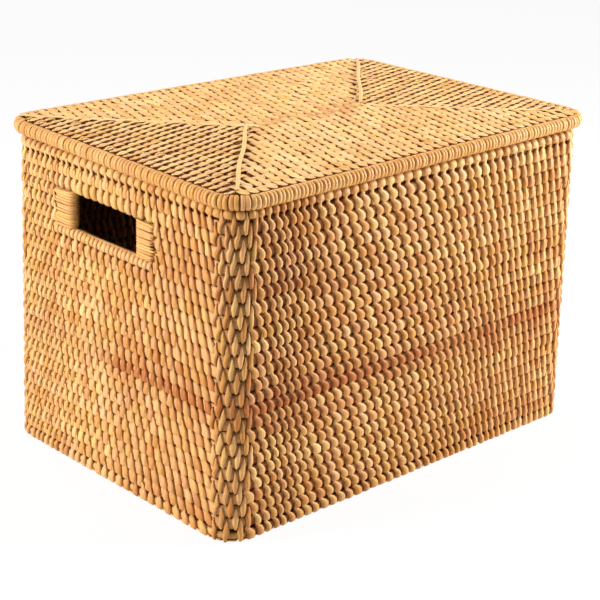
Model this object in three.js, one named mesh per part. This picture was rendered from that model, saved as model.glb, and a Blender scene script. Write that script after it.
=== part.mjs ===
// A rectangular lidded box of coiled rattan: stacked wall rods, a base panel and a lift-off lid.
// Millimetres. X runs along the long side, Y along the short side, Z is up.
// The origin lies on the ground under the middle of the box.
import * as THREE from 'three';

// Lid, measured over the outside of its rim
const LID_LENGTH = 440;
const LID_WIDTH = 310;
const LID_CORNER_RADIUS = 32;
const LID_OVERHANG = 6;
const RIM_HEIGHT = 16.6;
const RIM_WIDTH = 10.5;
const LID_ROD = 10.4;
const LEAST_SPINE_WIDTH = 8;
const RIB_WIDTH = 4.5;
const RIB_HEIGHT = 1.2;

// Locating courses under the lid
const LOCATOR_HEIGHT = 16.6;
const LOCATOR_CLEARANCE = 2.5;

// Walls
const WALL_ROD = 10.6;
const WALL_HEIGHT = 283.1;
const WALL_CORNER_RADIUS = 25;
const FOOT_FLARE_WIDTH = 3;

// Hand holes, one in each short wall
const HOLE_WIDTH = 86;
const HOLE_OFFSET = 15;
const HOLE_HEIGHT = 33;
const HOLE_SILL_HEIGHT = 218;
const BINDING_WIDTH = 26;
const BINDING_THICKNESS = 1.8;

// Base panel
const BASE_THICKNESS = 8;
const BASE_LIFT = 1.5;

// Clearance between pieces that lie against each other
const SEAT_GAP = 0.3;

// Facets in each quarter turn of a corner
const WALL_CORNER_STEPS = 3;
const RIM_CORNER_STEPS = 4;
const LID_CORNER_STEPS = 2;

// A rod's section is a regular octagon: this share of its width is cut off at each edge.
const OCTAGON_CUT = (1 - Math.tan(Math.PI / 8)) / 2;

// Sizes that follow from the ones above. Whole courses fill the wall's height.
const wallCourseCount = Math.round((WALL_HEIGHT + SEAT_GAP) / (WALL_ROD + SEAT_GAP));
const coursePitch = (WALL_HEIGHT + SEAT_GAP) / wallCourseCount;
const courseHeight = coursePitch - SEAT_GAP;
const lidBottom = WALL_HEIGHT + SEAT_GAP;
const lidTop = lidBottom + RIM_HEIGHT;
const panelTop = lidTop - RIB_HEIGHT - SEAT_GAP;
const panelBottom = panelTop - LID_ROD;
const lidPitch = LID_ROD + SEAT_GAP;
const panelHalfLength = LID_LENGTH / 2 - RIM_WIDTH - SEAT_GAP;
const panelHalfWidth = LID_WIDTH / 2 - RIM_WIDTH - SEAT_GAP;
const lidCourses = Math.floor((panelHalfWidth - LEAST_SPINE_WIDTH / 2) / lidPitch);
const locatorCourses = Math.round(LOCATOR_HEIGHT / lidPitch);

function rattan(color) {
  return new THREE.MeshStandardMaterial({ color, roughness: 0.55, metalness: 0 });
}

const WALL_COLOR = '#c98f4a';
const LID_COLOR = '#dcb26a';
const BINDING_COLOR = '#e0b56c';

function piece(name, geometry, color, z = 0) {
  const mesh = new THREE.Mesh(geometry, rattan(color));
  mesh.name = name;
  mesh.position.z = z;
  return mesh;
}

// Points of a quarter turn about a corner's centre, from one angle to another
function arcPoints(cx, cy, radius, start, end, steps) {
  const points = [];
  for (let i = 0; i <= steps; i += 1) {
    const angle = start + ((end - start) * i) / steps;
    points.push(new THREE.Vector2(cx + radius * Math.cos(angle), cy + radius * Math.sin(angle)));
  }
  return points;
}

// Counter-clockwise outline of a rectangle with round corners
function roundedRectangle(halfX, halfY, radius, steps) {
  const corners = [[1, 1], [-1, 1], [-1, -1], [1, -1]];
  return corners.flatMap(([sx, sy], i) => {
    const start = (i * Math.PI) / 2;
    return arcPoints(sx * (halfX - radius), sy * (halfY - radius), radius, start, start + Math.PI / 2, steps);
  });
}

// Solid of a flat outline with its upper and lower edges cut at 45 degrees
function chamferedSolid(shape, height, cut) {
  return new THREE.ExtrudeGeometry(shape, {
    depth: height - 2 * cut,
    bevelThickness: cut,
    bevelSize: cut,
    bevelOffset: -cut,
    bevelSegments: 1,
    steps: 1,
  }).translate(0, 0, cut);
}

// A rod bent into a closed rectangle, seen from above, lying on z = 0
function rodRing(halfX, halfY, radius, rod, steps, height = rod) {
  const shape = new THREE.Shape(roundedRectangle(halfX, halfY, radius, steps));
  const innerRadius = Math.max(radius - rod, rod / 8);
  const inner = roundedRectangle(halfX - rod, halfY - rod, innerRadius, steps);
  shape.holes.push(new THREE.Path(inner.reverse()));
  return chamferedSolid(shape, height, rod * OCTAGON_CUT);
}

// Walls lean out towards the foot by an equal step at each course.
function wallFlare(course) {
  const topCourse = wallCourseCount - 1;
  return (FOOT_FLARE_WIDTH * (topCourse - course)) / topCourse;
}

function wallHalfLength(course) {
  return LID_LENGTH / 2 - LID_OVERHANG + wallFlare(course);
}

function wallHalfWidth(course) {
  return LID_WIDTH / 2 - LID_OVERHANG + wallFlare(course);
}

const holeFirstCourse = Math.round(HOLE_SILL_HEIGHT / coursePitch);
const holeCourseCount = Math.round(HOLE_HEIGHT / coursePitch);
const holeLastCourse = holeFirstCourse + holeCourseCount - 1;
const holeFront = HOLE_OFFSET - HOLE_WIDTH / 2;
const holeBack = HOLE_OFFSET + HOLE_WIDTH / 2;
const rodEndSetback = BINDING_THICKNESS + SEAT_GAP;

// Half of a wall course that the hand holes cut: it runs from one hole round one long wall to the other.
// side is -1 for the front half and 1 for the back half.
function halfCourse(course, side) {
  const halfX = wallHalfLength(course);
  const halfY = wallHalfWidth(course);
  const end = side < 0 ? holeFront - rodEndSetback : holeBack + rodEndSetback;
  const outerRadius = WALL_CORNER_RADIUS;
  const innerRadius = outerRadius - WALL_ROD;
  const quarter = Math.PI / 2;
  const outerY = halfY - outerRadius;
  const outerX = halfX - outerRadius;
  const outer = [
    new THREE.Vector2(halfX, side * end),
    ...arcPoints(outerX, outerY, outerRadius, 0, quarter, WALL_CORNER_STEPS),
    ...arcPoints(-outerX, outerY, outerRadius, quarter, 2 * quarter, WALL_CORNER_STEPS),
    new THREE.Vector2(-halfX, side * end),
  ];
  const inner = [
    new THREE.Vector2(WALL_ROD - halfX, side * end),
    ...arcPoints(-outerX, outerY, innerRadius, 2 * quarter, quarter, WALL_CORNER_STEPS),
    ...arcPoints(outerX, outerY, innerRadius, quarter, 0, WALL_CORNER_STEPS),
    new THREE.Vector2(halfX - WALL_ROD, side * end),
  ];
  const outline = [...outer, ...inner].map((p) => new THREE.Vector2(p.x, side * p.y));
  return chamferedSolid(new THREE.Shape(outline), courseHeight, WALL_ROD * OCTAGON_CUT);
}

function fullCourse(course) {
  const halfX = wallHalfLength(course);
  const halfY = wallHalfWidth(course);
  return rodRing(halfX, halfY, WALL_CORNER_RADIUS, WALL_ROD, WALL_CORNER_STEPS, courseHeight);
}

function wallCourses() {
  const group = new THREE.Group();
  for (let course = 0; course < wallCourseCount; course += 1) {
    const name = `wall_course_${String(course + 1).padStart(2, '0')}`;
    const z = course * coursePitch;
    if (course < holeFirstCourse || course > holeLastCourse) {
      group.add(piece(name, fullCourse(course), WALL_COLOR, z));
    } else {
      group.add(piece(`${name}_front`, halfCourse(course, -1), WALL_COLOR, z));
      group.add(piece(`${name}_back`, halfCourse(course, 1), WALL_COLOR, z));
    }
  }
  return group;
}

// Cane binding that caps the cut rod ends at one side of a hand hole: a U in plan, as tall as the hole.
// end is -1 for the left wall and 1 for the right one, side is -1 for the front jamb and 1 for the back one.
function jambBinding(end, side) {
  const outerX = wallHalfLength(holeFirstCourse) + SEAT_GAP + BINDING_THICKNESS;
  const innerX = wallHalfLength(holeLastCourse) - WALL_ROD - SEAT_GAP - BINDING_THICKNESS;
  const jamb = side < 0 ? holeFront : holeBack;
  const tail = jamb + side * BINDING_WIDTH;
  const rodEnd = jamb + side * BINDING_THICKNESS;
  const nose = BINDING_THICKNESS;
  const outline = [
    [outerX, tail],
    [outerX, jamb + side * nose],
    [outerX - nose, jamb],
    [innerX + nose, jamb],
    [innerX, jamb + side * nose],
    [innerX, tail],
    [innerX + BINDING_THICKNESS, tail],
    [innerX + BINDING_THICKNESS, rodEnd],
    [outerX - BINDING_THICKNESS, rodEnd],
    [outerX - BINDING_THICKNESS, tail],
  ].map(([x, y]) => new THREE.Vector2(end * x, y));
  const height = holeCourseCount * coursePitch - SEAT_GAP;
  return new THREE.ExtrudeGeometry(new THREE.Shape(outline), { depth: height, bevelEnabled: false });
}

function jambBindings() {
  const group = new THREE.Group();
  const z = holeFirstCourse * coursePitch;
  for (const [endName, end] of [['left', -1], ['right', 1]]) {
    for (const [sideName, side] of [['front', -1], ['back', 1]]) {
      group.add(piece(`jamb_binding_${endName}_${sideName}`, jambBinding(end, side), BINDING_COLOR, z));
    }
  }
  return group;
}

// The base fits inside the lowest wall course and clears the ground.
function basePanel() {
  const halfX = wallHalfLength(0) - WALL_ROD - SEAT_GAP;
  const halfY = wallHalfWidth(0) - WALL_ROD - SEAT_GAP;
  const radius = WALL_CORNER_RADIUS - WALL_ROD;
  const outline = roundedRectangle(halfX, halfY, radius, WALL_CORNER_STEPS);
  const solid = chamferedSolid(new THREE.Shape(outline), BASE_THICKNESS, BASE_THICKNESS * OCTAGON_CUT);
  return piece('base_panel', solid, WALL_COLOR, BASE_LIFT);
}

// The rim is an upright oval bundle of rods, taller than it is wide.
function lidRim() {
  const halfX = LID_LENGTH / 2;
  const halfY = LID_WIDTH / 2;
  const ring = rodRing(halfX, halfY, LID_CORNER_RADIUS, RIM_WIDTH, RIM_CORNER_STEPS, RIM_HEIGHT);
  return piece('lid_rim', ring, LID_COLOR, lidBottom);
}

// Concentric courses from the rim inwards: the corner radius shrinks to that of a sharply bent rod.
function lidPanel() {
  const group = new THREE.Group();
  for (let course = 0; course < lidCourses; course += 1) {
    const inset = course * lidPitch;
    const radius = Math.max(LID_CORNER_RADIUS - RIM_WIDTH - SEAT_GAP - inset, LID_ROD / 4);
    const halfX = panelHalfLength - inset;
    const halfY = panelHalfWidth - inset;
    const ring = rodRing(halfX, halfY, radius, LID_ROD, LID_CORNER_STEPS);
    const name = `lid_course_${String(course + 1).padStart(2, '0')}`;
    group.add(piece(name, ring, LID_COLOR, panelBottom));
  }
  return group;
}

// The spine fills what the innermost course leaves open.
function lidSpine() {
  const inset = lidCourses * lidPitch;
  const outline = roundedRectangle(
    panelHalfLength - inset,
    panelHalfWidth - inset,
    LID_ROD / 4,
    LID_CORNER_STEPS,
  );
  const solid = chamferedSolid(new THREE.Shape(outline), LID_ROD, LID_ROD * OCTAGON_CUT);
  return piece('lid_spine', solid, LID_COLOR, panelBottom);
}

// A rib covers one mitre line, from the spine's end to the rim's inner corner.
// side is -1 for the front left diagonal and 1 for the back right one.
function lidRib(name, side) {
  const rimInset = LID_CORNER_RADIUS * (1 - Math.SQRT1_2);
  const outerX = LID_LENGTH / 2 - RIM_WIDTH - rimInset;
  const outerY = LID_WIDTH / 2 - RIM_WIDTH - rimInset;
  const length = Math.SQRT2 * outerY;
  const bar = new THREE.BoxGeometry(length, RIB_WIDTH, RIB_HEIGHT);
  const rib = piece(name, bar, BINDING_COLOR, panelTop + SEAT_GAP + RIB_HEIGHT / 2);
  rib.rotation.z = Math.PI / 4;
  rib.position.x = side * (outerX - outerY / 2);
  rib.position.y = (side * outerY) / 2;
  return rib;
}

// Courses under the panel that drop inside the top of the wall
function lidLocators() {
  const group = new THREE.Group();
  const halfX = wallHalfLength(wallCourseCount - 1) - WALL_ROD - LOCATOR_CLEARANCE;
  const halfY = wallHalfWidth(wallCourseCount - 1) - WALL_ROD - LOCATOR_CLEARANCE;
  const radius = Math.max(WALL_CORNER_RADIUS - WALL_ROD - LOCATOR_CLEARANCE, LID_ROD);
  for (let course = 0; course < locatorCourses; course += 1) {
    const ring = rodRing(halfX, halfY, radius, LID_ROD, LID_CORNER_STEPS);
    const z = panelBottom - (course + 1) * lidPitch;
    group.add(piece(`lid_locator_${course + 1}`, ring, LID_COLOR, z));
  }
  return group;
}

const box = new THREE.Group();
box.add(wallCourses(), jambBindings(), basePanel());

const lid = new THREE.Group();
lid.add(lidRim(), lidPanel(), lidSpine(), lidLocators());
lid.add(lidRib('lid_rib_front', -1), lidRib('lid_rib_back', 1));

const wovenBox = new THREE.Group();
wovenBox.add(box, lid);

export default wovenBox;
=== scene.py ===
"""Coiled rattan box with a lift-off lid: rods laid in courses and stitched together with split cane."""
import math

import bmesh
import bpy
import numpy as np
from bpy.props import FloatProperty, FloatVectorProperty, PointerProperty
from bpy.types import Operator, Panel, PropertyGroup
from mathutils import Matrix, Vector


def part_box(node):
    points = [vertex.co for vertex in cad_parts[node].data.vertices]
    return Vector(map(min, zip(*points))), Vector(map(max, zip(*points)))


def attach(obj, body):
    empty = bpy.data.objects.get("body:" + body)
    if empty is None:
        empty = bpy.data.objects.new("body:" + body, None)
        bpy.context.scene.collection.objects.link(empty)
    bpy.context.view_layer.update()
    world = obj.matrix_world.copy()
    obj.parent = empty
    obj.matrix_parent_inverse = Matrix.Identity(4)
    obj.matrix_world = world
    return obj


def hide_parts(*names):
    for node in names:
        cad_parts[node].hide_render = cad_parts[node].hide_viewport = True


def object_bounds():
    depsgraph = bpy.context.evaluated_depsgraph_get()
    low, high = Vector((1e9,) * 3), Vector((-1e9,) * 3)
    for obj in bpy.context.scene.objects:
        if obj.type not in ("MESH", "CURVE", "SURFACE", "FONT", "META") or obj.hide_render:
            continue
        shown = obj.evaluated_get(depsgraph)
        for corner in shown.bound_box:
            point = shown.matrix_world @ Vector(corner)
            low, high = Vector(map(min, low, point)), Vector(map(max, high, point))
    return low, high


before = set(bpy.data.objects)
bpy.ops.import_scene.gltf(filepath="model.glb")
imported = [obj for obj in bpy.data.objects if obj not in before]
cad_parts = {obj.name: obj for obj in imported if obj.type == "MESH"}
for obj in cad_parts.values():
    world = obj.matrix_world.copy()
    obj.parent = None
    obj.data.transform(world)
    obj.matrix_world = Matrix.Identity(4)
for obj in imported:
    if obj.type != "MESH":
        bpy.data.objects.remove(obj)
solid_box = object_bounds()

bl_info = {
    "name": "Woven Lidded Box",
    "version": (1, 0, 0),
    "blender": (4, 5, 0),
    "location": "View3D > Sidebar > Woven Box",
    "description": "Dresses the solids of a coiled rattan box in stitched cane",
    "category": "Object",
}

SIDES = ("front", "right", "back", "left")
# Numbers each point carries for its material. shade is painted light and shade: low where the colour is
# darkened towards Deep, high where it is left light.
MARKS = ("tone", "rust", "shade", "across", "along")

# Half the length and half the width over the rim, and the height of the wall.
HALF_LENGTH, HALF_WIDTH, WALL_HEIGHT = 0.22, 0.155, 0.283
# How far a stitch lies off its own rod and off the next one, pulled tight or not.
TIGHT, LOOSE = (0.0001, 0.0003), (0.0001, 0.0004)
# How much strands differ by hand: in width, tilt, place along, out and up, and tone.
HAND_WORK = (0.09, 0.045, 0.00028, 0.00012, 0.00020, 0.22)
# Lightness of the wall's rods, and the strength of the painted light on their fronts.
ROD_TONE, ROD_CREST = 0.55, 0.80
# A mitre stitch is longer than a straight one by this factor.
DIAGONAL = 1.414
# The tightest bend of a rod in the lid and the base.
LEAST_BEND = 0.003
# First number of the random draws for each group of strands.
SEEDS = {
    "jamb_tone": 70, "jamb": 80, "wall_tone": 500, "wall": 1000, "lid_edge": 3900,
    "lid": 4000, "spine": 4900, "rim": 7000, "locator": 7500, "base": 8000,
}
# Lamps: place, height of the point that they face, size and power.
LAMPS = {
    "overhead": ((-0.2, 0.5, 1.9), 0.20, 0.9, 18.0),
    "left": ((-2.5, 1.0, 1.1), 0.15, 0.9, 92.0),
    "right": ((1.25, -0.92, 0.75), 0.15, 0.7, 46.0),
}


class WallWeave(PropertyGroup):
    """Sizes of the rods and stitches in the walls."""

    corner_radius: FloatProperty(
        name="Corner Radius", default=0.025, unit="LENGTH",
        description="Radius of the wall's upright corners, over the rods",
    )
    cane_cover: FloatProperty(
        name="Cane Cover", default=0.0026, unit="LENGTH",
        description="How much thinner a rod is than its course, to leave room for the stitches",
    )
    spacing: FloatProperty(
        name="Stitch Spacing", default=0.0101, unit="LENGTH",
        description="Distance between stitches at the front left corner",
    )
    side_crowding: FloatProperty(
        name="Side Crowding", default=0.15, subtype="FACTOR",
        description="How much closer stitches lie at the right end of the front",
    )
    end_crowding: FloatProperty(
        name="End Crowding", default=0.28, subtype="FACTOR",
        description="How much closer stitches lie at the back of the left end",
    )
    near_crowding: FloatProperty(
        name="Front Crowding", default=0.23, subtype="FACTOR",
        description="How much closer the stitches lie on the front, beside its left corner",
    )
    corner_crowding: FloatProperty(
        name="Corner Crowding", default=1.08,
        description="How many times closer stitches lie round a corner",
    )
    drop: FloatProperty(
        name="Drop", default=0.33, subtype="FACTOR",
        description="Sideways step of the stitches from one course to the next, in stitches",
    )
    drop_change: FloatProperty(
        name="Drop Change", default=0.11, subtype="FACTOR",
        description="How much that step grows on the long sides and shrinks on the short ones",
    )
    stem_width: FloatProperty(
        name="Stem Width", default=0.0044, unit="LENGTH",
        description="Width of a stitch over its own course",
    )
    bead_width: FloatProperty(
        name="Bead Width", default=0.0084, unit="LENGTH",
        description="Width of a stitch over the course below",
    )
    stem_crown: FloatProperty(
        name="Stem Crown", default=0.0011, unit="LENGTH",
        description="How far a stitch bulges over its own course",
    )
    bead_crown: FloatProperty(
        name="Bead Crown", default=0.0025, unit="LENGTH",
        description="How far a stitch bulges over the course below",
    )
    dip: FloatProperty(
        name="Dip", default=0.0007, unit="LENGTH",
        description="How far a stitch sinks into the valley between two courses",
    )
    anchor: FloatProperty(
        name="Anchor", default=0.0031, unit="LENGTH",
        description="How far beside the middle of the bead above it a stitch comes out",
    )
    sway: FloatProperty(
        name="Sway", default=0.0006, unit="LENGTH",
        description="How far the hand-laid courses stray from straight",
    )


class LidWeave(PropertyGroup):
    """Sizes of the rods and stitches in the lid."""

    corner_radius: FloatProperty(
        name="Rim Corner Radius", default=0.032, unit="LENGTH",
        description="Radius of the lid's corners, over the rim",
    )
    rim_wrap: FloatProperty(
        name="Rim Wrap", default=0.0040, unit="LENGTH",
        description="Spacing of the wraps round the rim",
    )
    rim_height: FloatProperty(
        name="Rim Height", default=0.0122, unit="LENGTH",
        description="Height of the rim over its wraps",
    )
    rim_gap: FloatProperty(
        name="Rim Gap", default=0.0015, unit="LENGTH",
        description="How much higher than its solid the rim begins",
    )
    warp: FloatProperty(
        name="Warp", default=0.0016, unit="LENGTH",
        description="How far the lid droops at its front left and back right corners",
    )
    long_stitch: FloatProperty(
        name="Long Side Stitch", default=0.0098, unit="LENGTH",
        description="Spacing of the stitches in the two long fields",
    )
    short_stitch: FloatProperty(
        name="Short Side Stitch", default=0.0089, unit="LENGTH",
        description="Spacing of the stitches in the two end fields",
    )
    drop: FloatProperty(
        name="Drop", default=0.35, subtype="FACTOR",
        description="Sideways step of the stitches from one course to the next, in stitches",
    )
    end_drop: FloatProperty(
        name="End Drop", default=-0.32, subtype="FACTOR",
        description="Sideways step of the stitches in the two end fields, in stitches",
    )
    stem_width: FloatProperty(
        name="Stem Width", default=0.0046, unit="LENGTH",
        description="Width of a stitch over its own course",
    )
    bead_width: FloatProperty(
        name="Bead Width", default=0.0049, unit="LENGTH",
        description="Width of a stitch over the course inside it",
    )
    long_cover: FloatProperty(
        name="Long Side Cover", default=1.36,
        description="How much broader the stitches are in the two long fields",
    )
    short_cover: FloatProperty(
        name="Short Side Cover", default=0.74,
        description="How much narrower the stitches are in the two end fields",
    )
    crown: FloatProperty(
        name="Crown", default=0.0005, unit="LENGTH",
        description="Thickness of the cane at its middle",
    )
    rib_width: FloatProperty(
        name="Rib Width", default=0.0036, unit="LENGTH",
        description="Width of the raised strands along two of the mitres",
    )


class CaneFinish(PropertyGroup):
    """Colours of the cane."""

    pale: FloatVectorProperty(
        name="Pale Cane", default=(0.900, 0.600, 0.260), subtype="COLOR", min=0.0, max=1.0,
        description="Colour of the lightest strands",
    )
    honey: FloatVectorProperty(
        name="Honey Cane", default=(0.680, 0.330, 0.075), subtype="COLOR", min=0.0, max=1.0,
        description="Colour of the darkest strands",
    )
    rust: FloatVectorProperty(
        name="Rusty Cane", default=(0.470, 0.150, 0.030), subtype="COLOR", min=0.0, max=1.0,
        description="Colour of the reddish strands",
    )
    # Painted shade: the colour that shaded edges, sunk parts and rods are darkened towards.
    deep: FloatVectorProperty(
        name="Deep Brown", default=(0.125, 0.024, 0.001), subtype="COLOR", min=0.0, max=1.0,
        description="Colour of the rods and of the strands' edges in the gaps",
    )


class StageSetup(PropertyGroup):
    """Camera, lamps and floor."""

    azimuth: FloatProperty(
        name="Azimuth", default=math.radians(-43.83), subtype="ANGLE",
        description="Direction of the camera, from the front towards the right",
    )
    elevation: FloatProperty(
        name="Elevation", default=math.radians(20.52), subtype="ANGLE",
        description="Height of the camera above the horizon",
    )
    roll: FloatProperty(
        name="Roll", default=math.radians(1.91), subtype="ANGLE",
        description="Tilt of the camera about its line of sight",
    )
    distance: FloatProperty(
        name="Distance", default=1.55939, unit="LENGTH",
        description="From the middle of the box to the camera",
    )
    lowered: FloatProperty(
        name="Lowered", default=0.02707, unit="LENGTH",
        description="How far the camera is shifted down across its line of sight",
    )
    aside: FloatProperty(
        name="Aside", default=0.00032, unit="LENGTH",
        description="How far the camera is shifted left across its line of sight",
    )
    lens: FloatProperty(
        name="Lens", default=101.55,
        description="Focal length in millimetres on a 36 mm sensor",
    )
    sky: FloatProperty(
        name="Sky Light", default=0.07,
        description="Strength of the even light from all round",
    )
    floor_glow: FloatProperty(
        name="Floor Glow", default=0.93, subtype="FACTOR",
        description="Share of plain white in the floor as the camera sees it",
    )
    floor_color: FloatVectorProperty(
        name="Floor", default=(0.9, 0.9, 0.9), subtype="COLOR", min=0.0, max=1.0,
        description="Colour of the floor",
    )


class WovenBox(PropertyGroup):
    """All settings of the box."""

    wall: PointerProperty(type=WallWeave)
    lid: PointerProperty(type=LidWeave)
    finish: PointerProperty(type=CaneFinish)
    stage: PointerProperty(type=StageSetup)


def clear_selection():
    bpy.ops.object.select_all(action="DESELECT")


def make_active(obj):
    clear_selection()
    obj.select_set(True)
    bpy.context.view_layer.objects.active = obj


def place_in_mesh(obj):
    """Moves an object's place, turn and scale into its own points."""
    make_active(obj)
    bpy.ops.object.transform_apply(location=True, rotation=True, scale=True)


def apply_modifier(obj, kind, **values):
    make_active(obj)
    bpy.ops.object.modifier_add(type=kind)
    modifier = obj.modifiers[-1]
    for name, value in values.items():
        setattr(modifier, name, value)
    bpy.ops.object.modifier_apply(modifier=modifier.name)


def read_points(obj):
    points = np.empty(len(obj.data.vertices) * 3, np.float32)
    obj.data.vertices.foreach_get("co", points)
    return points.reshape(-1, 3).astype(float)


def write_points(obj, points):
    obj.data.vertices.foreach_set("co", np.ravel(points).astype(np.float32))
    obj.data.update()


def read_mark(obj, name):
    values = np.empty(len(obj.data.vertices), np.float32)
    obj.data.attributes[name].data.foreach_get("value", values)
    return values.astype(float)


def mark(obj, name, values):
    """Stores one number for each point of a mesh, for its material to read."""
    attribute = obj.data.attributes.get(name)
    if attribute is None:
        attribute = obj.data.attributes.new(name, "FLOAT", "POINT")
    filled = np.broadcast_to(values, len(obj.data.vertices))
    attribute.data.foreach_set("value", np.ascontiguousarray(filled, np.float32))


def join(name, objects):
    """Makes one named piece of its parts."""
    piece = objects[0]
    make_active(piece)
    if len(objects) > 1:
        for obj in objects:
            obj.select_set(True)
        bpy.ops.object.join()
    piece.name = piece.data.name = name
    return piece


def warp_lid(obj, amount):
    """Lets a piece of the lid droop at two corners and rise at the other two, as hand work does."""
    points = read_points(obj)
    points[:, 2] -= amount * (points[:, 0] / solid_box[1][0]) * (points[:, 1] / solid_box[1][1])
    write_points(obj, points)


def finish_piece(obj, body, material, nodes):
    """Smooths a piece, gives it its cane and puts it in the place of its solids."""
    if body == "lid":
        warp_lid(obj, bpy.context.scene.woven_box.lid.warp)
    make_active(obj)
    bpy.ops.object.shade_smooth()
    obj.data.materials.clear()
    obj.data.materials.append(material)
    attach(obj, body)
    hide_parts(*nodes)


def ease(value):
    """Smooth step from 0 to 1."""
    value = np.clip(value, 0.0, 1.0)
    return value * value * (3.0 - 2.0 * value)


def between(value, start, end, soft):
    """1 from start to end and 0 outside, with soft edges on the inner side."""
    return ease((value - start) / soft) * ease((end - value) / soft)


def bell(value, middle, spread):
    """1 at the middle, falling off to 0 on both sides."""
    return np.exp(-(((value - middle) / spread) ** 2))


def course_path(half_x, half_y, radius, z, steps):
    """Centre line of a course: a rectangle with round corners, as a closed curve."""
    clear_selection()
    bpy.ops.mesh.primitive_plane_add(size=2.0)
    path = bpy.context.active_object
    path.scale = (half_x, half_y, 1.0)
    path.location = (0.0, 0.0, z)
    place_in_mesh(path)
    bpy.ops.object.mode_set(mode="EDIT")
    bpy.ops.mesh.select_all(action="SELECT")
    bpy.ops.mesh.bevel(
        affect="VERTICES", offset_type="OFFSET", offset=radius, segments=steps, profile=0.5
    )
    bpy.ops.mesh.delete(type="ONLY_FACE")
    bpy.ops.object.mode_set(mode="OBJECT")
    bpy.ops.object.convert(target="CURVE")
    path = bpy.context.active_object
    path.data.dimensions = "3D"
    path.data.twist_mode = "Z_UP"
    return path


def path_run(path):
    """Distances along a closed path and the points there."""
    points = np.array([point.co[:3] for point in path.data.splines[0].points])
    points = np.vstack([points, points[:1]])
    steps = np.linalg.norm(np.diff(points, axis=0), axis=1)
    return np.concatenate([[0.0], np.cumsum(steps)]), points


def rod_shade(points, rise, crest):
    """Painted light and shade on a rod where it shows between its stitches, rise being -1 at its
    foot and 1 on top.

    Its front gets a painted highlight above the middle, and painted shade towards its foot and
    top. The two ends of the box are painted lighter than its long sides, which are painted
    lighter towards the right.
    """
    x, y = np.abs(points[:, 0]), np.abs(points[:, 1])
    ends = x > x.max() - 0.02
    corners = ends & (y > y.max() - 0.022)
    least = np.where(ends, 0.80, 0.20 + 0.40 * ease(points[:, 0] / 0.15))
    painted_light = least + (1.0 - least) * bell(rise, 0.68, 0.15)
    painted_light = np.where(corners, 0.65, np.where(ends, 1.25 * painted_light, painted_light))
    return crest * painted_light * (1.0 - np.clip(np.abs(rise), 0.0, 1.0) ** 8)


def rod_along(path, half_depth, half_height, tone, crest=0.0):
    """Turns a course's centre line into its rod, an oval in section. crest is the strength of the painted
    light on its front; at 0 the rod is painted dark in shade all over.
    """
    clear_selection()
    bpy.ops.curve.primitive_bezier_circle_add(radius=1.0)
    section = bpy.context.active_object
    section.data.resolution_u = 3
    section.scale = (half_depth, half_height, 1.0)
    place_in_mesh(section)
    path.data.bevel_mode = "OBJECT"
    path.data.bevel_object = section
    make_active(path)
    bpy.ops.object.convert(target="MESH")
    rod = bpy.context.active_object
    bpy.data.objects.remove(section)
    points = read_points(rod)
    rise = (points[:, 2] - points[:, 2].mean()) / half_height
    shade = rod_shade(points, rise, crest)
    along = points[:, 0] + points[:, 1]
    for name, values in zip(MARKS, (tone, 0.25 if crest else 0.0, shade, points[:, 2], along)):
        mark(rod, name, values)
    return rod


def trim_rod(rod, y, keep):
    """Cuts a rod across at y and keeps its front or back part, with closed ends."""
    make_active(rod)
    bpy.ops.object.mode_set(mode="EDIT")
    bpy.ops.mesh.select_all(action="SELECT")
    bpy.ops.mesh.bisect(
        plane_co=(0.0, y, 0.0),
        plane_no=(0.0, 1.0, 0.0),
        use_fill=True,
        clear_inner=keep == "back",
        clear_outer=keep == "front",
    )
    bpy.ops.object.mode_set(mode="OBJECT")


def strand_blank(segments):
    """A closed six-sided tube one unit high: what every strand of cane is shaped from."""
    clear_selection()
    bpy.ops.mesh.primitive_cylinder_add(vertices=6, radius=1.0, depth=1.0, location=(0.0, 0.0, 0.5))
    blank = bpy.context.active_object
    place_in_mesh(blank)
    bpy.ops.object.mode_set(mode="EDIT")
    bpy.ops.mesh.select_mode(type="EDGE")
    bpy.ops.mesh.select_all(action="DESELECT")
    mesh = bmesh.from_edit_mesh(blank.data)
    for edge in mesh.edges:
        edge.select_set(abs(edge.verts[0].co.z - edge.verts[1].co.z) > 0.5)
    bmesh.update_edit_mesh(blank.data)
    bpy.ops.mesh.subdivide(number_cuts=segments - 1)
    bpy.ops.object.mode_set(mode="OBJECT")
    return blank


def in_the_light(t):
    """For a strand with no painted shade along it."""
    return np.zeros_like(t)


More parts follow.
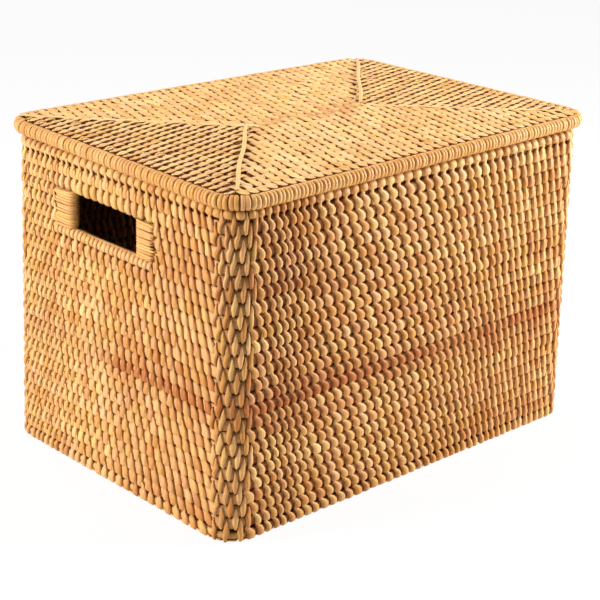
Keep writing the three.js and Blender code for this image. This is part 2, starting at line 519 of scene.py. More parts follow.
def shape_strand(stations, route, width, crown, face, sunk=in_the_light, edge=0.45):
    """Shapes a strand of cane. X runs along the course, Y inwards, Z up.

    route gives how far the strand stands out of the course and how far up it is, width and
    crown how broad and how thick it is, and sunk how much painted shade darkens it, each from
    the strand's start at 0 to its end at 1. stations are the places of its cross sections, or
    how many even steps they make. face is the side it lies on, and edge how light the strand's
    edges stay under the painted shade that darkens them.
    """
    if isinstance(stations, int):
        stations = np.linspace(0.0, 1.0, stations + 1)
    strand = strand_blank(len(stations) - 1)
    blank = read_points(strand)
    across, height = np.sign(blank[:, 1]) * np.abs(blank[:, 1]) ** 0.7, -blank[:, 0]
    even = np.linspace(0.0, 1.0, len(stations))
    backwards = face in ("inside", "top")
    if backwards:
        run = 1.0 - np.interp(1.0 - blank[:, 2], even, stations)
    else:
        run = np.interp(blank[:, 2], even, stations)

    def line(t):
        out, up = route(1.0 - t if backwards else t)
        return {
            "outside": (-out, up),
            "inside": (out, up),
            "top": (-up, out),
            "under": (-up, -out),
        }[face]

    y, z = line(run)
    step = 0.004
    y0, z0 = line(np.clip(run - step, 0.0, 1.0))
    y1, z1 = line(np.clip(run + step, 0.0, 1.0))
    length = np.hypot(y1 - y0, z1 - z0)
    start = 1.0 - run if backwards else run
    lift = np.where(height > 0.0, height, 0.4 * height) * crown(start)
    aside = across * width(start) / 2.0
    write_points(strand, np.stack([aside, y + lift * (z1 - z0) / length, z - lift * (y1 - y0) / length], 1))
    # Painted shade: the strand is darker towards its edges and underside, and where it is sunk.
    crest = edge + (1.0 - edge) * np.clip(height / 0.86, 0.0, 1.0)
    usual_length = 0.022
    mark(strand, "shade", crest * (1.0 - sunk(start)))
    mark(strand, "across", aside)
    mark(strand, "along", run * usual_length)
    return strand


def copy_of(obj):
    clear_selection()
    twin = obj.copy()
    twin.data = obj.data.copy()
    bpy.context.scene.collection.objects.link(twin)
    return twin


def each(values, count):
    """One value for each of count strands, as a column."""
    return np.broadcast_to(values, count)[:, None]


def lay_band(strand, places, tones, rusts, seed, looseness=1.0, widths=1.0, leans=0.0, lifts=0.0):
    """Copies a strand to each place along a straight course, no two of them quite alike.

    widths broadens the strands, leans moves the tips of the stitches along the course, and lifts
    raises their stems.
    """
    band = copy_of(strand)
    count = len(places)
    apart = 0.02
    apply_modifier(
        band,
        "ARRAY",
        count=count,
        use_relative_offset=False,
        use_constant_offset=True,
        constant_offset_displace=(apart, 0.0, 0.0),
    )
    points = read_points(band).reshape(count, -1, 3)
    points[:, :, 0] -= apart * np.arange(count)[:, None]
    rng = np.random.default_rng(seed)
    hand = rng.normal(size=(len(HAND_WORK), count, 1)).clip(-2.0, 2.0) * looseness
    wide, tilt, along, out, rise, tone = hand * np.reshape(HAND_WORK, (-1, 1, 1))
    points[:, :, 0] *= each(widths, count) * (1.0 + wide)
    up = points[:, :, 2]
    points[:, :, 0] += each(leans, count) * ease((up + 0.0095) / 0.0048)
    stem = ease((up + 0.0070) / 0.0032) * ease((0.0040 - up) / 0.0040)
    points[:, :, 1] -= each(lifts, count) * stem
    points[:, :, 0] += tilt * up + along
    points[:, :, 1] += out
    points[:, :, 2] += rise
    points[:, :, 0] += np.asarray(places)[:, None]
    write_points(band, points)
    size = points.shape[1]
    spread = np.clip(np.asarray(tones)[:, None] + tone, 0.0, 1.0)
    mark(band, "tone", np.repeat(spread.ravel(), size))
    mark(band, "rust", np.repeat(np.asarray(rusts), size))
    offset = np.repeat(rng.uniform(0.0, 9.0, count), size)
    mark(band, "along", read_mark(band, "along") + offset)
    return band


def bend_round(band, path):
    """Bends a straight band of stitches round the closed path of its course."""
    apply_modifier(band, "CURVE", object=path, deform_axis="POS_X")


def leaf_route(pitch, depth, height, lifts, slack, first=66.0, last=70.0):
    """Side view of a stitch: over its own course, across the valley, over the next course.

    lifts is how far it lies off the two rods. first and last are the angles round them at which
    it comes out and goes in.
    """
    stem_lift, bead_lift = lifts

    def route(t):
        over = math.radians(first) * np.clip(1.0 - t / 0.25, 0.0, 1.0)
        under = math.radians(last) * np.clip((t - 0.72) / 0.28, 0.0, 1.0)
        span = np.clip((t - 0.25) / 0.47, 0.0, 1.0)
        span = span + 0.07 * np.sin(2.0 * np.pi * span)
        lift = stem_lift + (bead_lift - stem_lift) * ease(span)
        out = (depth + lift) * np.cos(over) * np.cos(under)
        out = out - slack * np.sin(np.pi * np.clip(span, 0.0, 1.0)) ** 2
        up = (height + stem_lift) * np.sin(over) - pitch * span
        return out, up - (height + bead_lift) * np.sin(under)

    return route


def narrowed(t, share, stretch):
    """Grows from a share of 1 at 0 to 1 over a stretch."""
    return share + (1.0 - share) * ease(t / stretch)


def leaf_width(stem, bead, tip=0.3, taper=0.26, tail=0.55):
    """Outline of a stitch: a slim pointed stem that widens at a shoulder into a broad bead."""

    def width(t):
        shoulder = ease((t - 0.38) / 0.40)
        start = narrowed(t, tip, taper)
        return (stem + (bead - stem) * shoulder) * start * narrowed(1.0 - t, tail, 0.15)

    return width


def spindle_width(broad, tip=0.2, tail=0.42):
    """Outline of a stitch round a corner: broadest just under the valley, slim at both ends."""

    def width(t):
        return broad * narrowed(t, tip, 0.50) * narrowed(1.0 - t, tail, 0.42)

    return width


def leaf_crown(stem, bead):
    """Thickness of a stitch: flat where it comes out, then plump, and thin at its end."""

    def crown(t):
        plump = stem + (bead - stem) * ease((t - 0.34) / 0.34)
        return plump * (1.0 - 0.5 * ease((t - 0.84) / 0.16))

    return crown


def leaf_sunk(amount):
    """Painted shade along a stitch: it is dark at its ends, and where it lies deep between two beads."""

    def sunk(t):
        ends = ease((0.05 - t) / 0.05) + ease((t - 0.90) / 0.10)
        return np.clip(amount * between(t, 0.16, 0.50, 0.08) + 0.6 * ends, 0.0, 0.9)

    return sunk


def even_crown(thickness, end=1.0):
    """The same thickness all along, but for the last stretch, which thins to a share of it."""

    def crown(t):
        return thickness * (1.0 - (1.0 - end) * ease((t - 0.85) / 0.15))

    return crown


def wrap_route(depth, height, start, turn):
    """Side view of a wrap round a rod. Angles run from inside, over the top, to outside."""

    def route(t):
        angle = math.radians(start) + math.radians(turn) * t
        return -depth * np.cos(angle), height * np.sin(angle)

    return route


def even_width(broad, end=0.7, taper=0.12):
    """A strand as broad all along, but for its two ends, which narrow to a share of it."""

    def width(t):
        return broad * narrowed(np.minimum(t, 1.0 - t), end, taper)

    return width


def hand_sway(points, amount):
    """How far up the courses stray at each point: long, low waves, fading at the foot and the top."""
    x, y, z = points[:, 0], points[:, 1], points[:, 2]
    fade = 0.03
    inner = np.clip(z / fade, 0.0, 1.0) * np.clip((WALL_HEIGHT - z) / fade, 0.0, 1.0)
    wave = np.sin(31.0 * x + 3.0 * np.sin(11.0 * z)) + np.sin(37.0 * y + 23.0 * z)
    wave = wave + 0.5 * np.sin(71.0 * (x - y) + 41.0 * z)
    return amount * 0.5 * inner * wave


def stitch_places(run, line, radius, weave, level):
    """Places of a course's stitches, and how far the next course's lie from them, in stitches.

    The run goes along the front, the right end, the back and the left end. The stitches lie
    closer round the corners, just right of the front left corner, and far away from that one.
    """
    length = run[-1]
    fine = np.linspace(0.0, length, 4000)
    closer = weave.side_crowding * between(fine, 0.20, length - 0.16, 0.12)
    closer = closer + weave.end_crowding * between(fine, length - 0.52, length - 0.12, 0.14)
    spacing = weave.spacing * (1.0 - np.minimum(closer, weave.end_crowding))
    x = np.interp(fine, run, line[:, 0])
    y = np.interp(fine, run, line[:, 1])
    beside_corner = bell(x, line[:, 0].min() + 0.055, 0.028) * (y < 0.0)
    spacing = spacing * (1.0 - weave.near_crowding * beside_corner)
    bend = (np.abs(x) > line[:, 0].max() - radius) & (np.abs(y) > line[:, 1].max() - radius)
    spacing = np.where(bend, weave.spacing / weave.corner_crowding, spacing)
    turns = np.concatenate([[0.0], np.cumsum((1.0 / spacing)[1:])])
    stitches = round(length * np.mean(1.0 / spacing))
    turns = turns * stitches / turns[-1]
    end = HALF_WIDTH / (HALF_WIDTH + HALF_LENGTH)
    drop = weave.drop + weave.drop_change * np.cos(4.0 * np.pi * (fine / length - 0.25 * end))
    middle_level = 13.0
    phase = turns + (drop - drop[0]) * (level - middle_level) + drop[0] * level
    wanted = np.arange(math.ceil(phase[0]), math.ceil(phase[0]) + stitches)
    places = np.interp(wanted, phase, fine)
    return places, np.interp(places, fine, drop)


def wall_tone(x, y, z, level):
    """Lightness and redness of the wall's cane. Each length of cane differs from the next one.

    A rusty band runs round at mid height, strongest at the left of the front, with weaker ones
    above and below it, and two pale bands lie between them. The front is darker and redder all
    over, and most at its left: partly the cane's own colour, partly painted shade.
    """
    rng = np.random.default_rng(SEEDS["wall_tone"] + level)
    length = np.cumsum(rng.random(len(x)) < 0.05)
    pale = 0.50 + 0.10 * rng.uniform(-1.0, 1.0) + rng.uniform(-0.22, 0.22, len(x))[length]
    front = y < 0.0
    near = bell(x, -0.16, 0.10) * front
    uneven = rng.uniform(0.3, 1.2, len(x))[length]
    rusty = bell(z, 0.118 + 0.008 * near, 0.020) * (0.24 + 0.18 * front + 0.50 * near) * uneven
    rusty = rusty + 0.45 * bell(z, 0.226, 0.014) * near + 0.10 * front
    rusty = rusty + 0.30 * bell(z, 0.036, 0.012) * (0.5 + 0.5 * np.sin(11.0 * x + 7.0 * y))
    rusty = rusty + rng.uniform(0.0, 0.5, len(x))[length] ** 2 + 0.4 * rng.random(len(x)) ** 4
    pale = pale + 0.22 * bell(z, 0.168, 0.009) + 0.12 * bell(z, 0.068, 0.009) - 0.08 * front
    return pale, np.clip(rusty, 0.0, 1.0)


def node_extent(nodes):
    """Lowest and highest corners of some solids together."""
    boxes = [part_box(node) for node in nodes]
    low = np.min([np.array(low) for low, high in boxes], axis=0)
    high = np.max([np.array(high) for low, high in boxes], axis=0)
    return low, high


def wall_strands(weave, pitch, rod, depth):
    """The kinds of stitch and wrap that the wall's courses are laid with."""
    stem, bead = weave.stem_width, weave.bead_width
    corner, lintel, cap, sill, foot = 0.0050, 0.0088, 0.0100, 0.0056, 0.0094
    crown = leaf_crown(weave.stem_crown, weave.bead_crown)
    sunk = leaf_sunk(0.04)
    steps = (0.0, 0.12, 0.24, 0.33, 0.41, 0.48, 0.55, 0.62, 0.70, 0.79, 0.87, 0.94, 1.0)

    def across_valley(first, last):
        return leaf_route(pitch, depth, pitch / 2.0, TIGHT, weave.dip, first, last)

    def round_rod(proud, low, start, turn):
        return wrap_route(depth + proud, rod / 2.0 - low, start, turn)

    leaf, spindle = across_valley(12.0, 58.0), across_valley(40.0, 56.0)
    under_lintel = across_valley(40.0, 120.0)
    over_cap = round_rod(0.0003, 0.0020, -60.0, 292.0)
    over_sill = round_rod(0.0016, 0.0013, -60.0, 285.0)
    under_foot = round_rod(0.0008, 0.0010, 218.0, 150.0)
    full = leaf_width(stem, bead, tip=0.2, taper=0.42, tail=0.60)
    blunt = leaf_width(stem, lintel, tip=0.35, taper=0.14, tail=0.75)
    thinned = even_crown(weave.bead_crown, end=0.3)
    return {
        "leaf": shape_strand(steps, leaf, full, crown, "outside", sunk),
        "spindle": shape_strand(steps, spindle, spindle_width(corner), crown, "outside", sunk),
        "back": shape_strand(6, leaf, leaf_width(stem, bead), crown, "inside"),
        "lintel": shape_strand(steps, under_lintel, blunt, crown, "outside"),
        "cap": shape_strand(12, over_cap, even_width(cap, 0.7, 0.15), thinned, "outside"),
        "sill": shape_strand(10, over_sill, even_width(sill), even_crown(0.0013), "outside"),
        "foot": shape_strand(8, under_foot, even_width(foot), even_crown(weave.stem_crown), "outside"),
    }


class WOVENBOX_OT_wall_courses(Operator):
    """Lay the wall courses and stitch each one to the course below"""

    bl_idname = "woven_box.wall_courses"
    bl_label = "Wall Courses"

    def execute(self, context):
        weave = context.scene.woven_box.wall
        material = cane_material("wall_rattan", context.scene.woven_box.finish)
        levels = {}
        for node in sorted(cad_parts):
            if node.startswith("wall_course_"):
                levels.setdefault(int(node.split("_")[2]), []).append(node)
        top = max(levels)
        cut = sorted(level for level in levels if len(levels[level]) == 2)
        extents = {level: node_extent(nodes) for level, nodes in levels.items()}
        pitch = extents[2][0][2] - extents[1][0][2]
        rod = extents[1][1][2] - extents[1][0][2]
        depth = rod / 2.0 - weave.cane_cover
        grip = 0.002
        front_jamb, back_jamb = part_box("jamb_binding_left_front"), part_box("jamb_binding_left_back")
        hole = front_jamb[1][1], back_jamb[0][1]
        bound = front_jamb[0][1] + grip, back_jamb[1][1] - grip
        shapes = wall_strands(weave, pitch, rod, depth)
        for level, nodes in sorted(levels.items()):
            low, high = extents[level]
            middle = (low[2] + high[2]) / 2.0
            half_x = high[0] - rod / 2.0
            half_y = (high[1] - low[1]) / 2.0 - rod / 2.0
            radius = weave.corner_radius - rod / 2.0
            path = course_path(half_x, half_y, radius, middle, 6)
            run, line = path_run(path)
            places, drops = stitch_places(run, line, radius, weave, level)
            gaps = np.gradient(places)
            usual_gap, corner_anchor, stem_lift = 0.010, 0.0042, 0.0007
            widths = np.clip(1.6 * gaps / usual_gap - 0.6, 0.5, 1.1)
            x = np.interp(places, run, line[:, 0])
            y = np.interp(places, run, line[:, 1])
            bend = (abs(x) > half_x - radius) & (abs(y) > half_y - radius)
            beside = weave.anchor - 0.0036 * ease((drops - 0.22) / 0.22)
            leans = np.where(bend, corner_anchor, beside) - drops * gaps
            in_hole = (abs(x) > half_x - 0.02) & (y > bound[0]) & (y < bound[1])
            tones, rusts = wall_tone(x, y, middle, level)
            seed = SEEDS["wall"] + 10 * level

            def band(shape, chosen, number, looseness=1.0):
                leaf = shape in ("leaf", "spindle", "lintel")
                made = lay_band(
                    shapes[shape],
                    places[chosen],
                    tones[chosen],
                    rusts[chosen],
                    seed + number,
                    looseness,
                    widths[chosen],
                    leans[chosen] if leaf else 0.0,
                    stem_lift if leaf else 0.0,
                )
                bend_round(made, path)
                return made

            def stitches(chosen, number):
                return [band("leaf", chosen & ~bend, number), band("spindle", chosen & bend, number + 5)]

            every = np.ones(len(places), bool)
            if level in cut:
                in_front, behind = ~in_hole & (y < hole[0]), ~in_hole & (y > hole[0])
                front = [*stitches(in_front, 0), band("back", in_front, 1)]
                back = [*stitches(behind, 2), band("back", behind, 3)]
                whole = rod_along(path, depth, pitch / 2.0, ROD_TONE, ROD_CREST)
                twin = copy_of(whole)
                trim_rod(whole, hole[0] - grip, "front")
                trim_rod(twin, hole[1] + grip, "back")
                pieces = {nodes[1]: [whole, *front], nodes[0]: [twin, *back]}
            else:
                if level == 1:
                    parts = [band("foot", every, 0)]
                elif level - 1 == cut[-1]:
                    parts = [*stitches(~in_hole, 0), band("back", ~in_hole, 1)]
                elif level - 2 == cut[-1]:
                    parts = [*stitches(~in_hole, 0), band("back", every, 1), band("lintel", in_hole, 2)]
                else:
                    parts = [*stitches(every, 0), band("back", every, 1)]
                if level == top:
                    places = stitch_places(run, line, radius, weave, level + 1)[0]
                    parts.append(band("cap", every, 3, 0.6))
                if level == cut[0] - 1:
                    sill_wrap = 0.0055
                    for side in (x < 0.0, x > 0.0):
                        span = places[in_hole & side]
                        wraps = np.arange(span.min(), span.max(), sill_wrap)
                        even = np.ones(len(wraps))
                        sill = lay_band(shapes["sill"], wraps, 0.55 * even, 0.15 * even, seed + 3, 0.5)
                        bend_round(sill, path)
                        parts.append(sill)
                tall = rod / 2.0 - 0.0016 if level in (1, top) else pitch / 2.0
                pieces = {nodes[0]: [rod_along(path, depth, tall, ROD_TONE, ROD_CREST), *parts]}
            floor_gap = 0.0002
            for node, parts in pieces.items():
                piece = join("woven_" + node, parts)
                points = read_points(piece)
                points[:, 2] += hand_sway(points, weave.sway)
                points[:, 2] = np.maximum(points[:, 2], floor_gap)
                write_points(piece, points)
                finish_piece(piece, "box", material, [node])
        for shape in shapes.values():
            bpy.data.objects.remove(shape)
        return {"FINISHED"}


class WOVENBOX_OT_jamb_bindings(Operator):
    """Wind cane round the cut rod ends at both sides of each hand hole"""

    bl_idname = "woven_box.jamb_bindings"
    bl_label = "Jamb Bindings"

    def execute(self, context):
        material = cane_material("binding_cane", context.scene.woven_box.finish)
        cover, count = 0.0026, 13
        jambs = [(end, side) for end in ("left", "right") for side in ("front", "back")]
        for number, (end, side) in enumerate(jambs):
            node = f"jamb_binding_{end}_{side}"
            low, high = (np.array(corner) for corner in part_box(node))
            thick = (high[0] - low[0]) / 2.0 - cover
            straight = high[1] - low[1] - thick
            tall = high[2] - low[2]
            wide = tall / count

            def route(t):
                inner = np.clip(t / 0.40, 0.0, 1.0)
                outer = np.clip((t - 0.60) / 0.40, 0.0, 1.0)
                turn = np.pi * np.clip((t - 0.40) / 0.20, 0.0, 1.0)
                up = -thick + thick * np.sin(turn)
                up = up - straight * (1.0 - inner) - straight * outer
                out = -thick * np.cos(turn)
                tucked = 0.0016 * (ease((0.08 - t) / 0.08) + ease((t - 0.93) / 0.07))
                return out - np.sign(out) * tucked, up

            width = even_width(wide * 1.06, 0.35, 0.08)
            strand = shape_strand(14, route, width, even_crown(0.0010), "outside", edge=0.80)
            places = (np.arange(count) + 0.5) * wide - tall / 2.0
            rng = np.random.default_rng(SEEDS["jamb_tone"] + number)
            tones = 0.30 + 0.15 * rng.uniform(-1.0, 1.0, count)
            band = lay_band(strand, places, tones, np.zeros(count), SEEDS["jamb"] + number, 0.4)
            points = read_points(band).reshape(count, -1, 3)
            length = 1.0 + 0.10 * rng.uniform(-1.6, 0.4, (count, 1))
            points[:, :, 2] = np.where(points[:, :, 2] < -thick, points[:, :, 2] * length, points[:, :, 2])
            write_points(band, points)
            inwards = Vector((1.0 if end == "left" else -1.0, 0.0, 0.0))
            nose = Vector((0.0, 1.0 if side == "front" else -1.0, 0.0))
            turn = Matrix((inwards.cross(nose), inwards, nose)).transposed().to_4x4()
            edge = high[1] if side == "front" else low[1]
            spot = (low[0] + high[0]) / 2.0, edge, (low[2] + high[2]) / 2.0
            band.matrix_world = Matrix.Translation(spot) @ turn
            place_in_mesh(band)
            piece = join("woven_" + node, [band])
            finish_piece(piece, "box", material, [node])
            bpy.data.objects.remove(strand)
        return {"FINISHED"}


def turn_side(obj, side, half_x, half_y, z):
    """Takes a straight run of the lid or base to one of its four sides."""
    quarter = SIDES.index(side)
    spots = ((0.0, -half_y), (half_x, 0.0), (0.0, half_y), (-half_x, 0.0))
    obj.rotation_euler = (0.0, 0.0, quarter * math.pi / 2.0)
    obj.location = (*spots[quarter], z)
    place_in_mesh(obj)


def run_places(half, spacing, shift):
    """Evenly spaced places from -half to half, stepped sideways by shift."""
    reach = int(half / spacing) + 2
    places = (np.arange(-reach, reach + 1) + shift % 1.0) * spacing
    return places[np.abs(places) < half]


def panel_course(index, half_x, half_y, pitch, z, shapes, weave, tone_of, seed, last=False):
    """Stitches of one concentric course, side by side, from the straight runs."""
    parts = []
    for number, side in enumerate(SIDES):
        if number % 2 == 0:
            along, spacing, drop, cover = half_x, weave.long_stitch, weave.drop, weave.long_cover
        else:
            along, spacing, drop, cover = half_y, weave.short_stitch, weave.end_drop, weave.short_cover
        inset = (0.35 if last else 0.62) * pitch
        places = run_places(along - inset, spacing, drop * index)
        if len(places) == 0:
            continue
        tones, rusts = tone_of(side, places, half_y)
        for layer, shape in enumerate(shapes):
            band = lay_band(shape, places, tones, rusts, seed + 4 * number + layer, widths=cover)
            turn_side(band, side, half_x, half_y, z)
            parts.append(band)
    return parts


def corner_stitches(strand, half_x, half_y, z, corners, tone, seed):
    """Strands that lie along the mitres at the chosen corners of a course."""
    parts = []
    for corner in corners:
        band = lay_band(strand, [0.0], [tone], [0.0], seed + corner, 0.8)
        spots = ((-half_x, -half_y), (half_x, -half_y), (half_x, half_y), (-half_x, half_y))
        band.rotation_euler = (0.0, 0.0, corner * math.pi / 2.0 - math.pi / 4.0)
        band.location = (*spots[corner], z)
        place_in_mesh(band)
        parts.append(band)
    return parts


def panel_rod(half_x, half_y, radius, z, half_width, half_height, tone):
    """The rod of one concentric course, painted dark in shade where it shows between the stitches."""
    return rod_along(course_path(half_x, half_y, radius, z, 3), half_width, half_height, tone)


def lid_tone(side, places, half_y):
    """Lightness and redness of the lid's cane: paler than the walls, rusty along the spine."""
    slow = 0.08 * np.sin(23.0 * places + 40.0 * half_y)
    spine = ease((0.028 - half_y) / 0.02) if side in ("front", "back") else 0.0
    return 0.58 + slow, np.clip(spine * (0.35 + 0.25 * np.sin(60.0 * places)), 0.0, 1.0)


def base_tone(side, places, half_y):
    """Lightness and redness of the base's cane: the same all over."""
    return np.full(len(places), 0.5), np.zeros(len(places))


class WOVENBOX_OT_lid_courses(Operator):
    """Lay the lid's concentric courses and its spine and stitch them together"""

    bl_idname = "woven_box.lid_courses"
    bl_label = "Lid Courses"

    def execute(self, context):
        weave = context.scene.woven_box.lid
        material = cane_material("lid_rattan", context.scene.woven_box.finish)
        nodes = sorted(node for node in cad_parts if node.startswith("lid_course_"))
        extents = [node_extent([node]) for node in nodes]
        pitch = extents[0][1][0] - extents[1][1][0]
        rod = extents[0][1][2] - extents[0][0][2]
        height = rod / 2.0 - 0.0012
        slack, lap = 0.0006, 0.65 * pitch
        crown = even_crown(weave.crown)
        bead = weave.bead_width
        width = leaf_width(weave.stem_width, bead, tip=0.6, taper=0.10, tail=0.6)
        leaf = leaf_route(pitch, height, pitch / 2.0, TIGHT, slack, 52.0, 56.0)
        mitre = leaf_route(DIAGONAL * pitch, height, 0.8 * pitch, (0.0002, 0.0005), slack)
        edge = leaf_route(lap, height, lap / 2.0, TIGHT, slack, 25.0, 56.0)
        shapes = [
            shape_strand(9, leaf, width, crown, "top"),
            shape_strand(6, leaf, width, crown, "under"),
        ]
        edge_top = shape_strand(9, edge, width, crown, "top")
        corner_top = shape_strand(9, mitre, leaf_width(0.0054, 0.0062), crown, "top")
        corner_under = shape_strand(6, mitre, leaf_width(0.0056, 0.0066), crown, "under")
        outer_bend = 0.0163
        for index, node in enumerate(nodes):
            low, high = extents[index]
            z = (low[2] + high[2]) / 2.0
            half_x, half_y = high[0] - rod / 2.0, high[1] - rod / 2.0
            radius = max(outer_bend - index * pitch, LEAST_BEND)
            parts = [panel_rod(half_x, half_y, radius, z, pitch / 2.0, height, 0.5)]
            seed = SEEDS["lid"] + 20 * index
            parts += panel_course(index, half_x, half_y, pitch, z, shapes, weave, lid_tone, seed)
            if index == 0:
                outer = half_x + lap, half_y + lap
                parts += panel_course(-1, *outer, pitch, z, [edge_top], weave, lid_tone, SEEDS["lid_edge"])
            parts += corner_stitches(corner_top, half_x, half_y, z, (1, 3), 0.8, seed + 300)
            parts += corner_stitches(corner_under, half_x, half_y, z, range(4), 0.7, seed + 400)
            piece = join("woven_" + node, parts)
            finish_piece(piece, "lid", material, [node])
        low, high = node_extent(["lid_spine"])
        half_x, half_y = high[0], high[1]
        z = (low[2] + high[2]) / 2.0
        clear_selection()
        bpy.ops.mesh.primitive_cylinder_add(vertices=12, radius=1.0, depth=2.0 * half_x)
        core = bpy.context.active_object
        core.rotation_euler = (0.0, math.pi / 2.0, 0.0)
        core.location = (0.0, 0.0, z)
        place_in_mesh(core)
        points = read_points(core)
        points[:, 1] *= half_y
        points[:, 2] = z + (points[:, 2] - z) * height
        write_points(core, points)
        # The spine's core is painted dark in shade where it shows between the wraps.
        for name, value in zip(MARKS, (0.4, 0.2, 0.12, 0.0, 0.0)):
            mark(core, name, value)
        over = shape_strand(9, wrap_route(half_y, height, -60.0, 300.0), even_width(bead), crown, "outside")
        places = run_places(half_x - 0.002, weave.long_stitch, weave.drop * len(nodes))
        even = np.ones(len(places))
        wraps = lay_band(over, places, 0.5 * even, 0.3 * even, SEEDS["spine"])
        wraps.location = (0.0, 0.0, z)
        place_in_mesh(wraps)
        piece = join("woven_lid_spine", [core, wraps])
        finish_piece(piece, "lid", material, ["lid_spine"])
        for shape in (*shapes, edge_top, corner_top, corner_under, over):
            bpy.data.objects.remove(shape)
        return {"FINISHED"}


class WOVENBOX_OT_lid_ribs(Operator):
    """Lay the raised strands along two of the lid's mitres"""

    bl_idname = "woven_box.lid_ribs"
    bl_label = "Lid Ribs"

    def execute(self, context):
        weave = context.scene.woven_box.lid
        material = cane_material("binding_cane", context.scene.woven_box.finish)
        spine = node_extent(["lid_spine"])[1][0]
        for seed, node in enumerate(("lid_rib_front", "lid_rib_back")):
            low, high = node_extent([node])
            outer = np.array([low[0], low[1]] if seed == 0 else [high[0], high[1]])
            inner = np.array([-spine if seed == 0 else spine, 0.0])
            length = np.linalg.norm(outer - inner)

            def route(t):
                ripple = 0.00025 * np.cos(26.0 * np.pi * t)
                return ripple - 0.0016, length * (0.5 - t)

            strand = shape_strand(52, route, even_width(weave.rib_width), even_crown(0.0012), "top")
            points = read_points(strand)
            points[:, 0] += 0.0007 * np.sin(points[:, 1] * 55.0 + 2.0 * seed)
            write_points(strand, points)
            mark(strand, "tone", 0.70)
            mark(strand, "rust", 0.0)
            toward = inner - outer
            strand.rotation_euler = (0.0, 0.0, math.atan2(toward[1], toward[0]) - math.pi / 2.0)
            strand.location = (*((outer + inner) / 2.0), high[2])
            place_in_mesh(strand)
            piece = join("woven_" + node, [strand])
            finish_piece(piece, "lid", material, [node])
        return {"FINISHED"}


class WOVENBOX_OT_lid_rim(Operator):
    """Wrap the lid's rim closely with cane"""

    bl_idname = "woven_box.lid_rim"
    bl_label = "Lid Rim"

    def execute(self, context):
        weave = context.scene.woven_box.lid
        material = cane_material("rim_cane", context.scene.woven_box.finish)
        low, high = node_extent(["lid_rim"])
        panel = node_extent(["lid_course_01"])[1]
        depth = (high[0] - panel[0]) / 2.0
        height = weave.rim_height / 2.0
        middle = low[2] + weave.rim_gap + height
        half_x, half_y = high[0] - depth, high[1] - depth
        path = course_path(half_x, half_y, weave.corner_radius - depth, middle, 8)
        run = path_run(path)[0]
        count = 2 * round(run[-1] / weave.rim_wrap / 2.0)
        places = (np.arange(count) + 0.5) * run[-1] / count
        places[::2] += 0.14 * weave.rim_wrap
        cover, rod_cover = 0.0013, 0.0016
        route = wrap_route(depth - cover, height - cover, -75.0, 350.0)
        strand = shape_strand(16, route, even_width(1.02 * weave.rim_wrap), even_crown(0.0015), "outside")
        tones = 0.27 + 0.10 * np.sin(places * 21.0)
        wraps = lay_band(strand, places, tones, np.full(count, 0.12), SEEDS["rim"], 0.5)
        bend_round(wraps, path)
        # The rim's rod is painted dark in shade where it shows between the wraps.
        rod = rod_along(path, depth - rod_cover, height - rod_cover, 0.5)
        piece = join("woven_lid_rim", [rod, wraps])
        finish_piece(piece, "lid", material, ["lid_rim"])
        bpy.data.objects.remove(strand)
        return {"FINISHED"}


class WOVENBOX_OT_lid_locators(Operator):
    """Stitch the locating courses under the lid"""

    bl_idname = "woven_box.lid_locators"
    bl_label = "Lid Locating Courses"

    def execute(self, context):
        weave = context.scene.woven_box.lid
        material = cane_material("lid_rattan", context.scene.woven_box.finish)
        nodes = sorted(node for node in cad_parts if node.startswith("lid_locator_"))
        extents = [node_extent([node]) for node in nodes]
        rod = extents[0][1][2] - extents[0][0][2]
        pitch = extents[0][0][2] - extents[1][0][2]
        depth = rod / 2.0 - 0.0009
        leaf = leaf_route(pitch, depth, pitch / 2.0, LOOSE, 0.0009)
        width = leaf_width(weave.stem_width, weave.bead_width)
        crown = even_crown(weave.crown)
        shapes = [
            shape_strand(7, leaf, width, crown, "outside"),
            shape_strand(7, leaf, width, crown, "inside"),
        ]
        foot = shape_strand(8, wrap_route(depth, depth, 100.0, 340.0), even_width(0.0046), crown, "outside")
        for index, node in enumerate(nodes):
            low, high = extents[index]
            z = (low[2] + high[2]) / 2.0
            half_x, half_y = high[0] - rod / 2.0, high[1] - rod / 2.0
            path = course_path(half_x, half_y, 0.0119 - rod / 2.0, z, 4)
            run = path_run(path)[0]
            count = round(run[-1] / weave.long_stitch)
            places = (np.arange(count) + 0.4 * index) * run[-1] / count
            tones = np.full(count, 0.6)
            seed = SEEDS["locator"] + 10 * index
            parts = []
            for number, shape in enumerate([foot] if index == len(nodes) - 1 else shapes):
                band = lay_band(shape, places, tones, np.zeros(count), seed + number)
                bend_round(band, path)
                parts.append(band)
            # Its rod is painted dark in shade where it shows between the stitches.
            piece = join("woven_" + node, [rod_along(path, depth, pitch / 2.0, 0.45), *parts])
            finish_piece(piece, "lid", material, [node])
        for shape in (*shapes, foot):
            bpy.data.objects.remove(shape)
        return {"FINISHED"}


